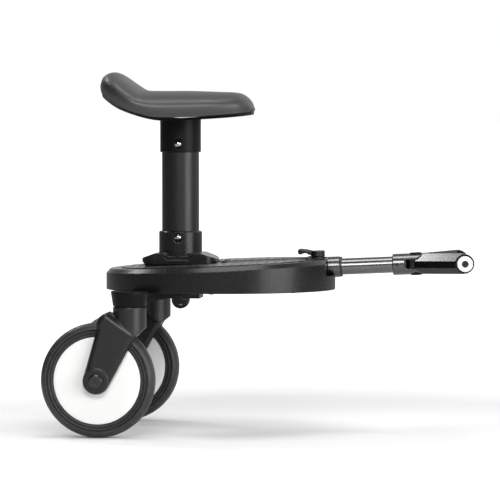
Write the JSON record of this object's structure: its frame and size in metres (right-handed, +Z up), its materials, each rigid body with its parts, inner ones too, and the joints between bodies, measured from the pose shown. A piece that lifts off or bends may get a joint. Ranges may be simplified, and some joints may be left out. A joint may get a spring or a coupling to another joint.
{
  "type": "buggy board",
  "caption": "Ride-on board for behind a pushchair: oval deck on swivelling casters, padded saddle on a post, telescopic clamped arm and a swinging yoke with hitch plugs.",
  "frame": {"origin": "on the floor, under the middle of the board's box", "axes": "+X towards the hitch, +Y to the left, +Z up"},
  "size_m": [0.5684, 0.298, 0.4821],
  "materials": {
    "deck_plastic": "matte",
    "yoke_plastic": "satin",
    "saddle_plastic": "satin",
    "fork_plastic": "matte",
    "core_plastic": "matte",
    "bush_plastic": "satin",
    "white_plastic": "satin",
    "tread_rubber": "matte",
    "mat_rubber": "matte",
    "saddle_skin": "satin",
    "post_paint": "satin",
    "arm_metal": "satin",
    "steel": "satin"
  },
  "bodies": {
    "deck": {"deck_shell": "deck_plastic", "deck_floor": "deck_plastic", "deck_mat": "mat_rubber", "deck_screws": "steel", "bracket_screws": "steel", "arm_cover": "deck_plastic", "cover_screws": "steel", "arm_guide": "bush_plastic", "front_collar": "deck_plastic", "collar_seal": "mat_rubber", "clamp_pad": "bush_plastic", "seat_base": "deck_plastic", "lock_plate": "deck_plastic", "caster_bracket_left": "deck_plastic", "caster_bracket_right": "deck_plastic", "swivel_bushes_left": "bush_plastic", "swivel_bushes_right": "bush_plastic", "swivel_caps": "core_plastic"},
    "seat_post": {"seat_tube": "post_paint", "lower_button_spring": "steel", "upper_button_spring": "steel"},
    "lower_button": {"lower_button": "saddle_plastic"},
    "upper_button": {"upper_button": "saddle_plastic"},
    "saddle": {"saddle_pad": "saddle_skin", "saddle_shell": "saddle_plastic", "saddle_socket": "saddle_plastic", "saddle_screws": "steel"},
    "seat_lock": {"lock_spindle": "steel", "lock_tab": "deck_plastic"},
    "clamp": {"clamp_lever": "deck_plastic", "clamp_screw": "steel"},
    "arm": {"arm_tube": "arm_metal", "arm_stop": "core_plastic", "arm_head": "yoke_plastic", "head_pin": "steel", "pivot_pin": "steel", "pivot_caps": "yoke_plastic"},
    "yoke": {"yoke": "yoke_plastic"},
    "hitch_left": {"hitch_plug_left": "white_plastic", "hitch_bolt_left": "steel"},
    "caster_left": {"fork_left": "fork_plastic", "kingpin_left": "steel", "axle_left": "steel", "axle_nut_left": "steel", "axle_spacers_left": "steel"},
    "wheel_left": {"wheel_core_left": "core_plastic", "wheel_covers_left": "white_plastic", "tyre_left": "tread_rubber", "wheel_bearings_left": "steel"},
    "hitch_right": {"hitch_plug_right": "white_plastic", "hitch_bolt_right": "steel"},
    "caster_right": {"fork_right": "fork_plastic", "kingpin_right": "steel", "axle_right": "steel", "axle_nut_right": "steel", "axle_spacers_right": "steel"},
    "wheel_right": {"wheel_core_right": "core_plastic", "wheel_covers_right": "white_plastic", "tyre_right": "tread_rubber", "wheel_bearings_right": "steel"}
  },
  "joints": [
    {"name": "seat_post_lift", "type": "slide", "parent": "deck", "child": "seat_post", "axis": [0, 0, 1], "range_m": [0, 0.06], "deforming": ["lower_button"]},
    {"name": "saddle_lift", "type": "slide", "parent": "seat_post", "child": "saddle", "axis": [0, 0, 1], "range_m": [0, 0.055], "deforming": ["upper_button"]},
    {"name": "lower_button_press", "type": "slide", "parent": "seat_post", "child": "lower_button", "axis": [0, 1, 0], "range_m": [0, 0.0065], "stiffness_N_per_m": 600, "springref_m": -0.004, "deforming": ["lower_button_spring"]},
    {"name": "upper_button_press", "type": "slide", "parent": "seat_post", "child": "upper_button", "axis": [0, 1, 0], "range_m": [0, 0.005], "stiffness_N_per_m": 600, "springref_m": -0.004, "deforming": ["upper_button_spring"]},
    {"name": "seat_lock_turn", "type": "hinge", "parent": "deck", "child": "seat_lock", "pos_m": [-0.11415, 0, 0.178], "axis": [0, 0, 1], "range_deg": [0, 90]},
    {"name": "clamp_lever_turn", "type": "hinge", "parent": "deck", "child": "clamp", "pos_m": [0.07245, 0, 0.22006], "axis": [-0.0454, 0, 0.999], "range_deg": [0, 100]},
    {"name": "arm_slide", "type": "slide", "parent": "deck", "child": "arm", "axis": [0.999, 0, 0.0454], "range_m": [-0.034, 0.05]},
    {"name": "yoke_swing", "type": "hinge", "parent": "arm", "child": "yoke", "pos_m": [0.20352, 0, 0.22601], "axis": [-0.0454, 0, 0.999], "range_deg": [-41, 29]},
    {"name": "hitch_left_turn", "type": "hinge", "parent": "yoke", "child": "hitch_left", "pos_m": [0.25671, 0.07699, 0.22843], "axis": [-0.1044, 0.9945, -0.0047], "continuous": true},
    {"name": "hitch_right_turn", "type": "hinge", "parent": "yoke", "child": "hitch_right", "pos_m": [0.27154, -0.06424, 0.2291], "axis": [-0.1044, 0.9945, -0.0047], "continuous": true},
    {"name": "caster_left_swivel", "type": "hinge", "parent": "deck", "child": "caster_left", "pos_m": [-0.16615, 0.12, 0.18], "axis": [0, 0, 1], "continuous": true},
    {"name": "caster_right_swivel", "type": "hinge", "parent": "deck", "child": "caster_right", "pos_m": [-0.16615, -0.12, 0.18], "axis": [0, 0, 1], "continuous": true},
    {"name": "wheel_left_spin", "type": "hinge", "parent": "caster_left", "child": "wheel_left", "pos_m": [-0.20815, 0.12, 0.076], "axis": [0, 1, 0], "continuous": true},
    {"name": "wheel_right_spin", "type": "hinge", "parent": "caster_right", "child": "wheel_right", "pos_m": [-0.20815, -0.12, 0.076], "axis": [0, 1, 0], "continuous": true}
  ]
}
